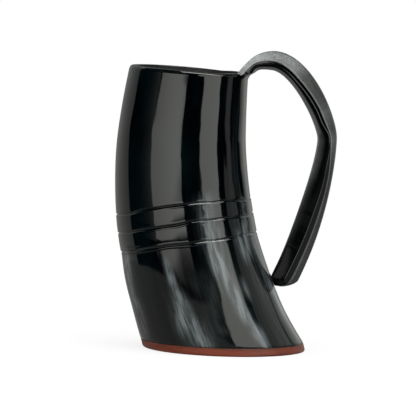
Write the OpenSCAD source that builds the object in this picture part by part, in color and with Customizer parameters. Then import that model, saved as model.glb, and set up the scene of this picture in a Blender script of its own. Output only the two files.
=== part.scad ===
// Drinking tankard made from a curved section of horn.
// The wide end of the horn stands on a wooden disc. The strip left above the rim is bent over
// and down as the handle, and its solid tip rests against the wall.
// The origin is the middle of the wooden foot, on the ground. +X points to the handle, +Z up.
// All lengths are millimetres and all angles are degrees.

/* [Horn cup] */
// Height of the middle of the rim above the ground
rim_h = 162.2; // [130:0.2:200]
// Width of the horn at its foot, towards the handle
foot_w = 95.2; // [80:0.2:105]
// Depth of the horn at its foot, from front to back
foot_d = 90; // [66:0.5:96]
// Width of the horn at its waist
waist_w = 80.2; // [72:0.2:88]
// Width of the mouth over the rim
mouth_w = 69.2; // [62:0.2:76]
// Depth of the mouth over the rim
mouth_d = 66; // [56:0.5:76]
// How far the horn bows away from the handle between its foot and its crest
horn_bow = 27.3; // [16:0.1:32]
// How far it comes back towards the handle between its crest and its mouth
mouth_return = 3.3; // [2:0.1:9]
// Wall of the horn at the rim
rim_wall = 3.8; // [3:0.1:5]
// Wall of the horn at the foot
foot_wall = 5; // [3.6:0.1:7]
// Rounding of the rim's edges
rim_round = 1.5; // [0.6:0.1:1.8]

/* [Carved bands] */
// Height of the lowest carved groove on the middle line
low_groove_h = 61.4; // [48:0.2:68]
// From the lowest groove up to the middle one
low_band_w = 11.2; // [8:0.2:15]
// From the middle groove up to the highest one
high_band_w = 10.2; // [7:0.2:12]
// Width of a carved groove
groove_w = 2.4; // [1.6:0.1:3.4]
// Depth of a carved groove
groove_depth = 0.6; // [0.3:0.05:1.4]
// How far the two bands between the grooves stand proud
band_swell = 0.35; // [0:0.05:1]
// How far the bands arch up at the front and the back
band_arch = 2.8; // [0:0.1:7]
// How far the rim arches up at the front and the back
rim_arch = 0.4; // [0:0.1:2.5]

/* [Handle] */
// Height of the top of the bend, on the handle's middle line, above the rim's middle
bend_rise = 7.1; // [4:0.1:12]
// From the middle of the mouth out to the top of the bend
bend_out = 48.4; // [42:0.2:56]
// From the middle of the mouth out to the farthest point of the grip
grip_out = 81.9; // [72:0.1:90]
// From the top of the bend down to the farthest point of the grip
grip_drop = 44.9; // [36:0.1:56]
// Height of the tip's end above the ground
tip_h = 37.3; // [28:0.1:44]
// Thickness of the curled strip just above the rim
neck_t = 6.5; // [5:0.1:8]
// Thickness of the handle over the top
bend_t = 12.3; // [9:0.1:15]
// Thickness of the handle at its farthest point
grip_t = 11; // [8:0.1:14]
// Thickness of the solid horn near the tip
tip_t = 15.4; // [11:0.1:17]
// Width of the handle just past its root on the rim
neck_w = 26.8; // [22:0.2:33]
// Width of the handle over the top
bend_w = 25; // [18:0.5:30]
// Width of the handle at its farthest point
grip_w = 23; // [16:0.5:28]
// Width of the handle near the tip
tip_w = 18.5; // [12:0.5:24]
// Depth of the rounded end of the tip
tip_dome = 8; // [5:0.1:10]
// Depth of the hollow along the outer side of the handle
channel_depth = 1.6; // [0:0.1:2.4]

/* [Wooden base] */
// Thickness of the wooden disc under the horn
disc_t = 5; // [4:0.1:9]
// How far the disc's lower side stands towards the handle from its upper side
disc_lean = 1.4; // [0:0.1:3]
// Rounding of the disc's lower edge
disc_round = 1.1; // [0.4:0.1:2]
// How far the disc's step rises inside the horn
step_h = 4.5; // [3:0.1:8]

/* [Glue and seal] */
// Thickness of the glue bed under the horn
bed_t = 0.4; // [0.3:0.05:0.8]
// Gap between the disc's step and the horn, filled with glue
step_gap = 0.6; // [0.4:0.05:1.2]
// How far the glue bed stays back from the outside
bed_inset = 0.6; // [0.4:0.1:1.5]
// Thickness of the resin floor inside the cup
floor_t = 2.5; // [1.5:0.1:4]
// Height of the resin's fillet up the wall
floor_fillet = 1.5; // [0.5:0.1:3]
// Gap between the tip's seat and the wall, filled with glue
tip_gap = 0.5; // [0.3:0.05:1]
// Radius of the glue pad under the tip
pad_r = 2.6; // [1.5:0.1:4]

/* [Hidden] */
// Points round the horn, in equal turns from the handle's side
round_points = 80;
// Steps of a turn from the middle of the handle's root to each of its edges
root_steps = 6;
turn_step = 360 / round_points;
root_half = root_steps * turn_step;

// The horn's middle line bows out to a crest at this share of its height, then comes back
crest_share = 0.734;
bow_power = 2.17;
return_power = 1.34;
// Its width narrows from foot to waist and from waist to mouth, at these powers of the height
waist_share = 0.352;
foot_power = 1.17;
mouth_power = 1.58;
// Its depth narrows evenly all the way, at this power of the way down from the rim
depth_power = 1.25;
// Rings lie level at the foot, rise towards the handle at the bands, and fall a little at the rim
level_share = 0.09;
band_share = 0.377;
band_tilt = 10.5;
rim_tilt = -3.5;

// Cuts run this far past what they cut
overrun = 2;
// The edges of the rim under the handle's root stay this sharp
seat_round = 0.15;
// Clearance left where a glue pad meets the curved wall
pad_clear = 0.05;

horn_h = rim_h - disc_t;
seam_x = -disc_lean;
mouth_x = seam_x - horn_bow + mouth_return;

function mix(a, b, share) = a + (b - a) * share;
function ease(low, high, x) =
    let (u = max(0, min(1, (x - low) / (high - low))))
    u * u * (3 - 2 * u);
function bezier(c, t) =
    let (s = 1 - t)
    c[0] * s * s * s + 3 * c[1] * s * s * t + 3 * c[2] * s * t * t + c[3] * t * t * t;

// Horn: a station t runs from 0 at the top of the disc to 1 at the rim
function station_z(t) = disc_t + horn_h * t;
function station_of(z) = (z - disc_t) / horn_h;
function middle_x(t) =
    t < 0 ? seam_x * station_z(t) / disc_t
    : t < crest_share ? seam_x - horn_bow * (1 - pow(1 - t / crest_share, bow_power))
    : seam_x - horn_bow + mouth_return * pow((t - crest_share) / (1 - crest_share), return_power);
function width(t) =
    t < waist_share
        ? waist_w + (foot_w - waist_w) * pow(1 - max(t, 0) / waist_share, foot_power)
        : waist_w + (mouth_w - waist_w) * pow((t - waist_share) / (1 - waist_share), mouth_power);
function depth(t) = mouth_d + (foot_d - mouth_d) * pow(1 - max(t, 0), depth_power);
function tilt(t) =
    band_tilt * ease(level_share, band_share, t)
    + (rim_tilt - band_tilt) * ease(band_share, 1, t);
function arch(t) =
    band_arch * ease(level_share, band_share, t)
    + (rim_arch - band_arch) * ease(band_share, 1, t);
function wall(t) = mix(foot_wall, rim_wall, ease(0, 1, t));

// Point of the horn at station t and turn a, moved in from the outer surface and down from the ring
function horn_point(t, a, inset = 0, down = 0) =
    let (w = width(t) / 2 - inset,
         d = depth(t) / 2 - inset,
         along = w * cos(a),
         lift = arch(t) * pow(sin(a), 2) - down,
         lean = tilt(t))
    [middle_x(t) + along * cos(lean) - lift * sin(lean),
     d * sin(a),
     station_z(t) + along * sin(lean) + lift * cos(lean)];
function ring(t, inset = 0, down = 0) =
    [for (i = [0 : round_points - 1]) horn_point(t, i * turn_step, inset, down)];

// Solid skinned over a stack of rings that all have the same number of points
function band_faces(n, low, high) =
    [for (i = [0 : n - 1])
        let (j = (i + 1) % n)
        each [[low + i, high + i, high + j], [low + i, high + j, low + j]]];
function whole_face(n) = [[for (i = [0 : n - 1]) i]];
module skin(rings, first_faces = undef) {
    n = len(rings[0]);
    last = len(rings) - 1;
    polyhedron(
        points = [for (r = rings) each r],
        faces = concat(
            is_undef(first_faces) ? whole_face(n) : first_faces,
            [for (k = [0 : last - 1]) each band_faces(n, k * n, (k + 1) * n)],
            [[for (i = [n - 1 : -1 : 0]) last * n + i]]));
}
// Hollow solid skinned over a closed loop of rings
module loop_skin(rings) {
    n = len(rings[0]);
    count = len(rings);
    polyhedron(
        points = [for (r = rings) each r],
        faces = [for (k = [0 : count - 1]) each band_faces(n, k * n, ((k + 1) % count) * n)]);
}

// Carved bands: how far the outer surface stands in from the plain horn at height z
groove_heights = [low_groove_h, low_groove_h + low_band_w, low_groove_h + low_band_w + high_band_w];
function groove_cut(z, h) =
    let (u = abs(z - h) / (groove_w / 2))
    u < 1 ? groove_depth * pow(1 - u * u, 2) : 0;
function swell(z, low, high) =
    let (u = (z - low) / (high - low))
    u > 0 && u < 1 ? band_swell * pow(4 * u * (1 - u), 1 / 2) : 0;
function carve(z) =
    groove_cut(z, groove_heights[0]) + groove_cut(z, groove_heights[1])
    + groove_cut(z, groove_heights[2])
    - swell(z, groove_heights[0], groove_heights[1])
    - swell(z, groove_heights[1], groove_heights[2]);

// Heights of the rings: each groove has its floor, its flanks and its lips, and bands have a crown
groove_ring_shares = [-0.5, -0.3, 0, 0.3, 0.5];
band_ring_shares = [0.25, 0.5, 0.75];
lower_ring_shares = [0, 0.06, 0.14, 0.24, 0.35, 0.47, 0.6, 0.74, 0.88];
upper_ring_shares = [0.12, 0.26, 0.4, 0.54, 0.68, 0.81, 0.92];
outer_heights = concat(
    [for (s = lower_ring_shares) mix(disc_t, groove_heights[0], s)],
    [for (s = groove_ring_shares) groove_heights[0] + s * groove_w],
    [for (s = band_ring_shares) mix(groove_heights[0], groove_heights[1], s)],
    [for (s = groove_ring_shares) groove_heights[1] + s * groove_w],
    [for (s = band_ring_shares) mix(groove_heights[1], groove_heights[2], s)],
    [for (s = groove_ring_shares) groove_heights[2] + s * groove_w],
    [for (s = upper_ring_shares) mix(groove_heights[2], rim_h, s)]);

// The rim is rounded all round but under the root of the handle, where it stays square
round_from = root_half;
round_full = root_half + 2 * turn_step;
function rim_ease(a) =
    let (off = a > 180 ? 360 - a : a)
    mix(seat_round, rim_round, ease(round_from, round_full, off));
function rim_ring(inset_share, down_share, inner = 0) =
    [for (i = [0 : round_points - 1])
        let (a = i * turn_step,
             r = rim_ease(a),
             inset = r * inset_share)
        horn_point(1, a, inner == 0 ? inset : rim_wall - inset, r * down_share)];
quarter_turns = [0, 30, 60, 90];

inner_ring_shares = [1, 0.86, 0.72, 0.58, 0.44, 0.32, 0.22, 0.14, 0.09, 0.05, 0];

module horn_cup() {
    outer = [for (z = outer_heights) ring(station_of(z), carve(z))];
    edge_out = [for (q = quarter_turns) rim_ring(1 - cos(q), 1 - sin(q))];
    edge_in = [for (q = quarter_turns) rim_ring(1 - sin(q), 1 - cos(q), 1)];
    bore = [for (s = inner_ring_shares)
        if (s < 1) ring(s, wall(s))];
    color([0.06, 0.07, 0.07])
        loop_skin(concat(outer, edge_out, edge_in, bore));
}

// Handle: three curves end to end, from the rim over the bend, down the grip and in to the tip.
// Their control points are shares of the lengths that they follow. The first curve starts in the middle
// of the curled strip, between its crown and the inner corners of its edges.
root_mid = (mouth_w / 2 + (mouth_w / 2 - rim_wall) * cos(root_half)) / 2;
root_point = [mouth_x + root_mid * cos(rim_tilt), rim_h + root_mid * sin(rim_tilt)];
bend_point = [mouth_x + bend_out, rim_h + bend_rise];
grip_point = [mouth_x + grip_out, rim_h + bend_rise - grip_drop];
tip_station = station_of(tip_h);
tip_out_share = 0.267;
tip_point = [
    middle_x(tip_station) + width(tip_station) / 2 + tip_t * tip_out_share,
    tip_h];
root_pull_shares = [0.323, 0.538];
bend_in_share = 0.608;
bend_away_share = 0.513;
grip_above_share = 0.232;
grip_below_share = 0.16;
tip_pull_shares = [0.646, 0.351];
root_up = [-sin(rim_tilt), cos(rim_tilt)];
bend_reach = bend_point[0] - root_point[0];
bend_climb = bend_point[1] - root_point[1];
grip_reach = grip_point[0] - bend_point[0];
tip_reach = grip_point[0] - tip_point[0];
tip_drop = grip_point[1] - tip_h;
handle_curves = [
    [root_point, root_point + [bend_reach * root_pull_shares[0], bend_climb * root_pull_shares[1]],
     bend_point - [bend_reach * bend_in_share, 0], bend_point],
    [bend_point, bend_point + [grip_reach * bend_away_share, 0],
     grip_point + [0, grip_drop * grip_above_share], grip_point],
    [grip_point, grip_point - [0, tip_drop * grip_below_share],
     tip_point + [tip_reach * tip_pull_shares[0], tip_drop * tip_pull_shares[1]], tip_point]];

// Place h runs from 0 at the rim to 3 at the end of the tip, one for each curve
function handle_mid(h) =
    let (k = min(floor(h), 2))
    bezier(handle_curves[k], h - k);
look_share = 0.01;
function handle_way(h) =
    let (a = handle_mid(max(h - look_share, 0)),
         b = handle_mid(min(h + look_share, 3)),
         d = b - a)
    d / norm(d);
function keyed(keys, values, h) =
    h <= keys[0] ? values[0]
    : h >= keys[len(keys) - 1] ? values[len(keys) - 1]
    : let (k = max([for (i = [0 : len(keys) - 1]) if (keys[i] <= h) i]))
      mix(values[k], values[k + 1], ease(keys[k], keys[k + 1], h));
thick_places = [0.142, 1.42, 2, 2.74];
width_places = [0.1, 0.8, 2, 2.8];
cut_places = [0, 1.3, 2, 2.9];
function handle_t(h) = keyed(thick_places, [neck_t, bend_t, grip_t, tip_t], h);
function handle_w(h) = keyed(width_places, [neck_w, bend_w, grip_w, tip_w], h);
// The sanded edges of the strip take up this share of the thickness and lean in to this share of the width
cut_deep_shares = [0.42, 0.55, 0.3, 0.27];
cut_in_shares = [0.8, 0.5, 0.6, 0.55];
channel_shares = [1, 1, 0.6, 0];
function cut_deep(h) = keyed(cut_places, cut_deep_shares, h);
function cut_in(h) = keyed(cut_places, cut_in_shares, h);
function channel(h) = channel_depth * keyed(cut_places, channel_shares, h);

// Section of the grip as points across (v) and away from the loop (u): the rounded inner side, a cut
// edge, the hollowed outer side and the other cut edge
cut_bulge_share = 0.08;
function grip_section(h) =
    let (t = handle_t(h), w = handle_w(h) / 2, edge = t / 2 - t * cut_deep(h), top = w * cut_in(h),
         bulge = t * cut_bulge_share,
         side = [for (i = [-root_steps : root_steps])
             let (q = 90 * i / root_steps)
             [edge - (edge + t / 2) * cos(q), w * sin(q)]],
         hollow = [for (i = [root_steps : -1 : -root_steps])
             let (p = i / root_steps)
             [t / 2 - channel(h) * (1 - p * p), top * p]])
    concat(side, [[(edge + t / 2) / 2 + bulge, (w + top) / 2]],
           hollow, [[(edge + t / 2) / 2 + bulge, -(w + top) / 2]]);

// The first section is the face of the cut horn on the rim, so that cup and handle meet face to face
function root_local(p) =
    let (off = [p[0] - root_point[0], p[2] - root_point[1]])
    [off[0] * root_up[0] + off[1] * root_up[1],
     -off[0] * root_up[1] + off[1] * root_up[0],
     p[1]];
root_section =
    let (out = [for (i = [-root_steps : root_steps]) horn_point(1, i * turn_step)],
         in = [for (i = [root_steps : -1 : -root_steps]) horn_point(1, i * turn_step, rim_wall)],
         all = concat(out, [(out[2 * root_steps] + in[0]) / 2], in,
                      [(out[0] + in[2 * root_steps]) / 2]))
    [for (p = all) root_local(p)];

// Over the neck the cut face of the horn turns into the grip's own section. The strip narrows in a
// tight fillet just above the rim.
neck_end = 0.6;
fillet_end = 0.14;
lean_end = 0.25;
function handle_ring(h, shrink = 1, ahead = 0) =
    let (mid = handle_mid(h),
         turned = mix(root_up, handle_way(h), ease(0, lean_end, h)),
         way = turned / norm(turned),
         out = [-way[1], way[0]],
         grip = grip_section(h),
         share = ease(0, neck_end, h),
         wide = ease(0, fillet_end, h))
    [for (i = [0 : len(grip) - 1])
        let (r = root_section[i],
             along = r[0] * (1 - share) + ahead,
             u = mix(r[1], grip[i][0], share) * shrink,
             v = mix(r[2], grip[i][1], wide) * shrink)
        [mid[0] + way[0] * along + out[0] * u, v, mid[1] + way[1] * along + out[1] * u]];

// Places of the rings, closer together where the handle bends hard, and the rounded end of the tip
neck_places = [0, 0.035, 0.07, 0.105, 0.14, 0.2, 0.28, 0.37, 0.46, 0.56, 0.68, 0.82];
grip_steps = 12;
tip_steps = 11;
dome_turns = [15, 35, 52, 66, 78];
dome_start = 3 - tip_dome / norm(grip_point - tip_point);

// The curled face on the rim is filled crosswise, between its two long sides
strip_end = 2 * root_steps;
strip_last = 2 * strip_end + 2;
root_faces = concat(
    [for (i = [0 : strip_end - 1])
        each [[i, i + 1, strip_last - i], [i + 1, strip_last - i - 1, strip_last - i]]],
    [[strip_end, strip_end + 1, strip_end + 2], [strip_last, strip_last + 1, 0]]);

module handle_blank() {
    rings = concat(
        [for (h = neck_places) handle_ring(h)],
        [for (i = [0 : grip_steps]) handle_ring(1 + i / grip_steps)],
        [for (i = [1 : tip_steps]) handle_ring(mix(2, dome_start, i / tip_steps))],
        [for (q = dome_turns) handle_ring(dome_start, cos(q), tip_dome * sin(q))]);
    skin(rings, root_faces);
}

// Where the tip rests: the wall's point at that height on the handle's side, and the wall's slope there
rest_drop_share = 0.2;
rest_station = station_of(tip_h + tip_dome * rest_drop_share);
rest_near = horn_point(rest_station - look_share, 0);
rest_far = horn_point(rest_station + look_share, 0);
rest_at = horn_point(rest_station, 0);
rest_lean = atan2(rest_near[0] - rest_far[0], rest_far[2] - rest_near[2]);

// Frame with its X axis straight out of the wall where the tip rests
module at_rest() {
    translate(rest_at) rotate([0, -rest_lean, 0]) children();
}

module handle() {
    color([0.08, 0.09, 0.09])
        difference() {
            handle_blank();
            at_rest()
                translate([tip_gap - tip_t, -tip_w, -tip_t])
                    cube([tip_t, 2 * tip_w, 2 * tip_t]);
        }
}

module tip_glue() {
    color([0.2, 0.2, 0.18])
        at_rest()
            translate([pad_clear, 0, 0])
                rotate([0, 90, 0])
                    cylinder(h = tip_gap - pad_clear, r = pad_r, $fn = 48);
}

// Foot: the disc carries on the horn's slant, with a rounded lower edge, and its step stands in the bore
step_top = disc_t + step_h;
disc_round_turns = [0, 30, 60, 90];
function disc_ring(z, inset) = ring(station_of(z), inset);
module wooden_base() {
    color([0.45, 0.22, 0.14])
        difference() {
            skin(concat(
                [disc_ring(-overrun, disc_round)],
                [for (q = disc_round_turns)
                    disc_ring(disc_round * (1 - sin(q)), disc_round * (1 - cos(90 - q)))],
                [disc_ring(disc_t - bed_t, 0),
                 disc_ring(disc_t - bed_t, foot_wall + step_gap),
                 disc_ring(step_top, wall(station_of(step_top)) + step_gap)]));
            translate([-foot_w, -foot_d, -2 * overrun])
                cube([2 * foot_w, 2 * foot_d, 2 * overrun]);
        }
}

// Glue: a thin bed under the end of the horn and a collar round the disc's step
module base_glue() {
    color([0.3, 0.24, 0.16])
        loop_skin([
            disc_ring(disc_t - bed_t, bed_inset),
            disc_ring(disc_t, bed_inset),
            disc_ring(disc_t, foot_wall),
            disc_ring(step_top, wall(station_of(step_top))),
            disc_ring(step_top, wall(station_of(step_top)) + step_gap),
            disc_ring(disc_t - bed_t, foot_wall + step_gap)]);
}

// Resin floor poured over the disc's step, with a fillet up the wall
module inner_seal() {
    top = step_top + floor_t;
    color([0.12, 0.11, 0.1])
        skin([
            disc_ring(step_top, wall(station_of(step_top))),
            disc_ring(top, wall(station_of(top))),
            disc_ring(top + floor_fillet, wall(station_of(top + floor_fillet))),
            disc_ring(top + floor_fillet / 3, wall(station_of(top)) + floor_fillet / 2),
            disc_ring(top, wall(station_of(top)) + 2 * floor_fillet)]);
}

horn_cup();
handle();
wooden_base();
base_glue();
inner_seal();
tip_glue();
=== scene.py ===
import math

import bpy
import numpy as np
from mathutils import Matrix, Vector


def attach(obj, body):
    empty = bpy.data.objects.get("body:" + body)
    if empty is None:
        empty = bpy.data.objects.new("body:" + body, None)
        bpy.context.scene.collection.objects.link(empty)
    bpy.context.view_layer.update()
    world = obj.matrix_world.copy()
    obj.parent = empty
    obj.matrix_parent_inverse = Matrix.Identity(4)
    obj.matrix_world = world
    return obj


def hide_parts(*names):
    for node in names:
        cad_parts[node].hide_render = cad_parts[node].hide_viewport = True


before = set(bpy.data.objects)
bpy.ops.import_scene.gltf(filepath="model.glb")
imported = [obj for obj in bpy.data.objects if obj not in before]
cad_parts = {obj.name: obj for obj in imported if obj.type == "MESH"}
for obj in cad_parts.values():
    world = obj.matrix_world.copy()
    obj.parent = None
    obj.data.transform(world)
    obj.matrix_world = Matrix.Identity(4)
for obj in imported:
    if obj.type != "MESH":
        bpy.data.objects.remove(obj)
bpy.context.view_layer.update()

# Horn tankard with a bent horn handle on a wooden foot.
# Lengths are millimetres here, and gridMesh turns them into metres. Angles are degrees.
mm = 0.001
rideOn = "root"
scene = bpy.context.scene


# Small helpers for numbers and curves
def ease(low, high, x):
    # smooth step: 0 below low, 1 above high, and 3u^2 - 2u^3 between them
    u = np.clip((np.asarray(x, float) - low) / (high - low), 0, 1)
    return u * u * (3 - 2 * u)


def mix(a, b, share):
    # in a straight line from a at share 0 to b at share 1
    return a + (b - a) * share


def bump(middle, width, x):
    # bell curve: e to the minus ((x - middle) / width) squared
    return np.exp(-((np.asarray(x, float) - middle) / width) ** 2)


def keyed(places, values, x):
    # values at their places, with a smooth step from each to the next
    places, values = np.asarray(places, float), np.asarray(values, float)
    k = np.clip(np.searchsorted(places, x, side="right") - 1, 0, len(places) - 2)
    share = ease(0, 1, (x - places[k]) / (places[k + 1] - places[k]))
    return mix(values[k], values[k + 1], share)


def waves(angle, counts, heights, seed):
    # sum of sines round the horn, each with a whole number of waves and its own start
    starts = np.random.default_rng(seed).uniform(0, 2 * np.pi, len(counts))
    return sum(h * np.sin(n * angle + s) for n, h, s in zip(counts, heights, starts))


def fullTurn(count):
    # one row of angles, once round
    return np.linspace(0, 2 * np.pi, count, endpoint=False)[None, :]


def quarterTurn(count):
    # one column of angles, from 0 to a right angle
    return np.radians(np.linspace(0, 90, count))[:, None]


def flowMark(radius, angle, along):
    # a piece made straight: round a cylinder with the angle, and up it with the length along the piece
    return np.stack(np.broadcast_arrays(radius * np.cos(angle), radius * np.sin(angle), along), -1)


# Meshes
def gridMesh(name, rings, loop=False, poles=(False, False), marks=None, sharpOver=60):
    # rings: array of rows x points x 3. Each row closes on itself; loop joins the last row to the first,
    # and a pole closes the first or last row with a fan round its middle point
    count, around = rings.shape[:2]
    row = np.arange(count if loop else count - 1)
    r, i = (g.ravel() for g in np.meshgrid(row, np.arange(around), indexing="ij"))
    up, on = (r + 1) % count, (i + 1) % around
    quads = np.stack([r * around + i, r * around + on, up * around + on, up * around + i], 1)
    points = rings.reshape(-1, 3)
    closed = [(side, base) for side, base in ((0, 0), (1, (count - 1) * around)) if poles[side]]
    fans = []
    turn = np.arange(around)
    for side, base in closed:
        ends = [base + turn, base + (turn + 1) % around]
        fans.append(np.stack([np.full(around, len(points)), *ends[::1 if side else -1]], 1))
        points = np.vstack([points, points[base:base + around].mean(0)])
    faces = quads.tolist() + [f for fan in fans for f in fan.tolist()]
    a, b, c, d = (points[quads[:, k]] for k in range(4))
    volume = np.einsum("ij,ij->i", a, np.cross(b, c) + np.cross(c, d)).sum()
    if volume < 0:
        faces = [f[::-1] for f in faces]
    mesh = bpy.data.meshes.new(name)
    mesh.from_pydata((points * mm).tolist(), [], faces)
    for mark, value in (marks or {}).items():
        flat = value.reshape(count * around, -1)
        for _, base in closed:
            flat = np.vstack([flat, flat[base:base + around].mean(0)])
        kind, slot = ("FLOAT", "value") if flat.shape[1] == 1 else ("FLOAT_VECTOR", "vector")
        layer = mesh.attributes.new(mark, kind, "POINT")
        layer.data.foreach_set(slot, flat.astype(np.float32).ravel())
    mesh.polygons.foreach_set("use_smooth", np.ones(len(faces), bool))
    if sharpOver < 180:
        mesh.set_sharp_from_angle(angle=math.radians(sharpOver))
    mesh.update()
    return mesh


def addPiece(name, mesh, material, slot, *nodes):
    # a finished piece sits at the origin and rides on the cup's only body
    piece = bpy.data.objects.new(name, mesh)
    scene.collection.objects.link(piece)
    mesh.materials.append(material)
    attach(piece, rideOn)
    if nodes:
        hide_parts(*nodes)
    print("piece", name, len(mesh.polygons), "faces")


# Horn: rings of points from the disc's top to the rim
horn = dict(
    discT=5, rimH=162.2,
    footW=95.2, footD=90, waistW=80.2, mouthW=69.2, mouthD=66,
    bow=27.3, mouthReturn=3.3, crestShare=0.734, bowPower=2.17, returnPower=1.34,
    waistShare=0.352, footPower=1.17, mouthPower=1.58, depthPower=1.25,
    levelShare=0.09, bandShare=0.377, bandTilt=10.5, rimTilt=-3.5, bandArch=2.8, rimArch=0.4,
    rimWall=3.8, footWall=5, rimRound=1.9, rimInner=0.5, rootRound=0.1, discLean=1.4,
    flareH=3.2, flareOut=1.15, flarePower=1.8, flareEdge=(0.06, -0.16),
    grooveH=(61.4, 72.6, 82.8), grooveW=1.5, grooveDepth=0.5, notchPower=1.6,
    grooveWander=(0.42, 0.3, 0.22, 0.14, 0.1), grooveWaves=(2, 3, 5, 9, 14), grooveSeed=11,
    depthWander=(0.12, 0.14, 0.1), depthWaves=(4, 7, 11), depthSeed=31,
    bandSwell=0.2, lipRise=0.05, lipAt=1.5, lipW=0.55,
    rippleHeights=(0.035, 0.022, 0.01), rippleWaves=(7, 9, 13), rippleRise=(64, 41, 27),
    rippleStart=2.1, rippleBack=0.04, drift=1.3, driftStart=1.7, twist=0.011, twistStep=0.006,
    calmRim=(1, 9), calmFoot=(6, 14),
    rootHalf=27, rootEase=9, rimLift=0.9, liftFrom=60, liftTo=34, liftEdge=2.5,
    margin=5, footBevel=0.3, rimGap=0.05, ringCounts=(58, 128, 70, 16), roundRings=9,
    boreFrom=0.015, boreRings=44, borePower=1.3, flowR=40, rimWorn=0.5, around=288, inset=0.02,
)
hornH = horn["rimH"] - horn["discT"]
rootTurn = math.radians(horn["rootHalf"])


def stationZ(t):
    # height of a station: 0 on the disc, 1 at the rim
    return horn["discT"] + hornH * t


def stationOf(z):
    # station of a height
    return (z - horn["discT"]) / hornH


def middleX(t):
    # bows away as a power of the rise up to the crest, then comes back as another power
    h = horn
    low = 1 - np.clip(t / h["crestShare"], 0, 1)
    high = np.clip((t - h["crestShare"]) / (1 - h["crestShare"]), 0, None)
    below = -h["discLean"] * np.clip(stationZ(t) / h["discT"], None, 1)
    return below - h["bow"] * (1 - low ** h["bowPower"]) + h["mouthReturn"] * high ** h["returnPower"]


def width(t):
    # narrows from foot to waist and from waist to mouth as powers of the rise
    h = horn
    low = 1 - np.clip(t, 0, h["waistShare"]) / h["waistShare"]
    high = np.clip((t - h["waistShare"]) / (1 - h["waistShare"]), 0, None)
    return (h["waistW"] + (h["footW"] - h["waistW"]) * low ** h["footPower"]
            + (h["mouthW"] - h["waistW"]) * high ** h["mouthPower"])


def depth(t):
    # narrows all the way as a power of the way down from the rim
    h = horn
    return h["mouthD"] + (h["footD"] - h["mouthD"]) * np.clip(1 - t, 0, 1) ** h["depthPower"]


def risen(atBands, atRim, t):
    # nothing at the foot, one value at the bands, another at the rim
    h = horn
    return (atBands * ease(h["levelShare"], h["bandShare"], t)
            + (atRim - atBands) * ease(h["bandShare"], 1, t))


def wall(t):
    # thins from foot to rim by a smooth step
    return mix(horn["footWall"], horn["rimWall"], ease(0, 1, t))


def fold(angle):
    # turn from the handle's side, 0 to pi either way
    return np.abs((angle + np.pi) % (2 * np.pi) - np.pi)


def hornPoint(t, angle, inset=0.0, down=0.0):
    # ellipse round the middle line, tilted and arched, moved in by inset and down by down
    t, angle, inset, down = np.broadcast_arrays(*(np.asarray(v, float) for v in (t, angle, inset, down)))
    w, d = width(t) / 2 - inset, depth(t) / 2 - inset
    lean = np.radians(risen(horn["bandTilt"], horn["rimTilt"], t))
    along = w * np.cos(angle)
    lift = risen(horn["bandArch"], horn["rimArch"], t) * np.sin(angle) ** 2 - down
    return np.stack([
        middleX(t) + along * np.cos(lean) - lift * np.sin(lean),
        d * np.sin(angle),
        stationZ(t) + along * np.sin(lean) + lift * np.cos(lean)], -1)


def carve(z, angle):
    # three hand-cut grooves: a rounded notch with a raised lip on both sides, wandering up and down;
    # the two bands between them swell a little
    h = horn
    cut = np.zeros(np.broadcast(z, angle).shape)
    heights = []
    for k, base in enumerate(h["grooveH"]):
        middle = base + waves(angle, h["grooveWaves"], h["grooveWander"], h["grooveSeed"] + k)
        deep = h["grooveDepth"] * (1 + waves(angle, h["depthWaves"], h["depthWander"], h["depthSeed"] + k))
        u = (z - middle) / (h["grooveW"] / 2)
        cut += deep * np.clip(1 - u * u, 0, 1) ** h["notchPower"]
        cut -= h["lipRise"] * (bump(-h["lipAt"], h["lipW"], u) + bump(h["lipAt"], h["lipW"], u))
        heights.append(middle)
    for low, high in zip(heights, heights[1:]):
        u = np.clip((z - low) / (high - low), 0, 1)
        cut -= h["bandSwell"] * np.sqrt(4 * u * (1 - u))
    return cut


def ripple(z, angle):
    # shallow unevenness of hand polishing: sines round the horn that drift with the height
    h = horn
    total = 0
    for k, (high, count, rise) in enumerate(zip(h["rippleHeights"], h["rippleWaves"], h["rippleRise"])):
        drift = h["drift"] * np.sin(2 * np.pi * z / rise + h["driftStart"] * k)
        drift = drift + z * (h["twist"] + h["twistStep"] * k)
        total = total + high * np.sin(count * angle + drift + h["rippleStart"] * k)
    return total


def flare(z, angle):
    # under the handle's root the wall swings out over the last few millimetres, as a power of the rise;
    # flareEdge is in radians from the root's side
    h = horn
    up = np.clip((z - h["rimH"] + h["flareH"]) / h["flareH"], 0, 1)
    outer, inner = (rootTurn + edge for edge in h["flareEdge"])
    return h["flareOut"] * up ** h["flarePower"] * ease(outer, inner, fold(angle))


def rimRound(radius, angle):
    # the rim's rounding fades out under the handle's root
    share = ease(rootTurn, rootTurn + math.radians(horn["rootEase"]), fold(angle))
    return mix(horn["rootRound"], radius, share)


def rimLift(angle):
    # beside the handle's root the rim rises a little, as if the saw had turned up there
    h = horn
    turn = np.degrees(fold(angle))
    edge = ease(h["rootHalf"], h["rootHalf"] + h["liftEdge"], turn)
    return h["rimLift"] * ease(h["liftFrom"], h["liftTo"], turn) * edge


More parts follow.
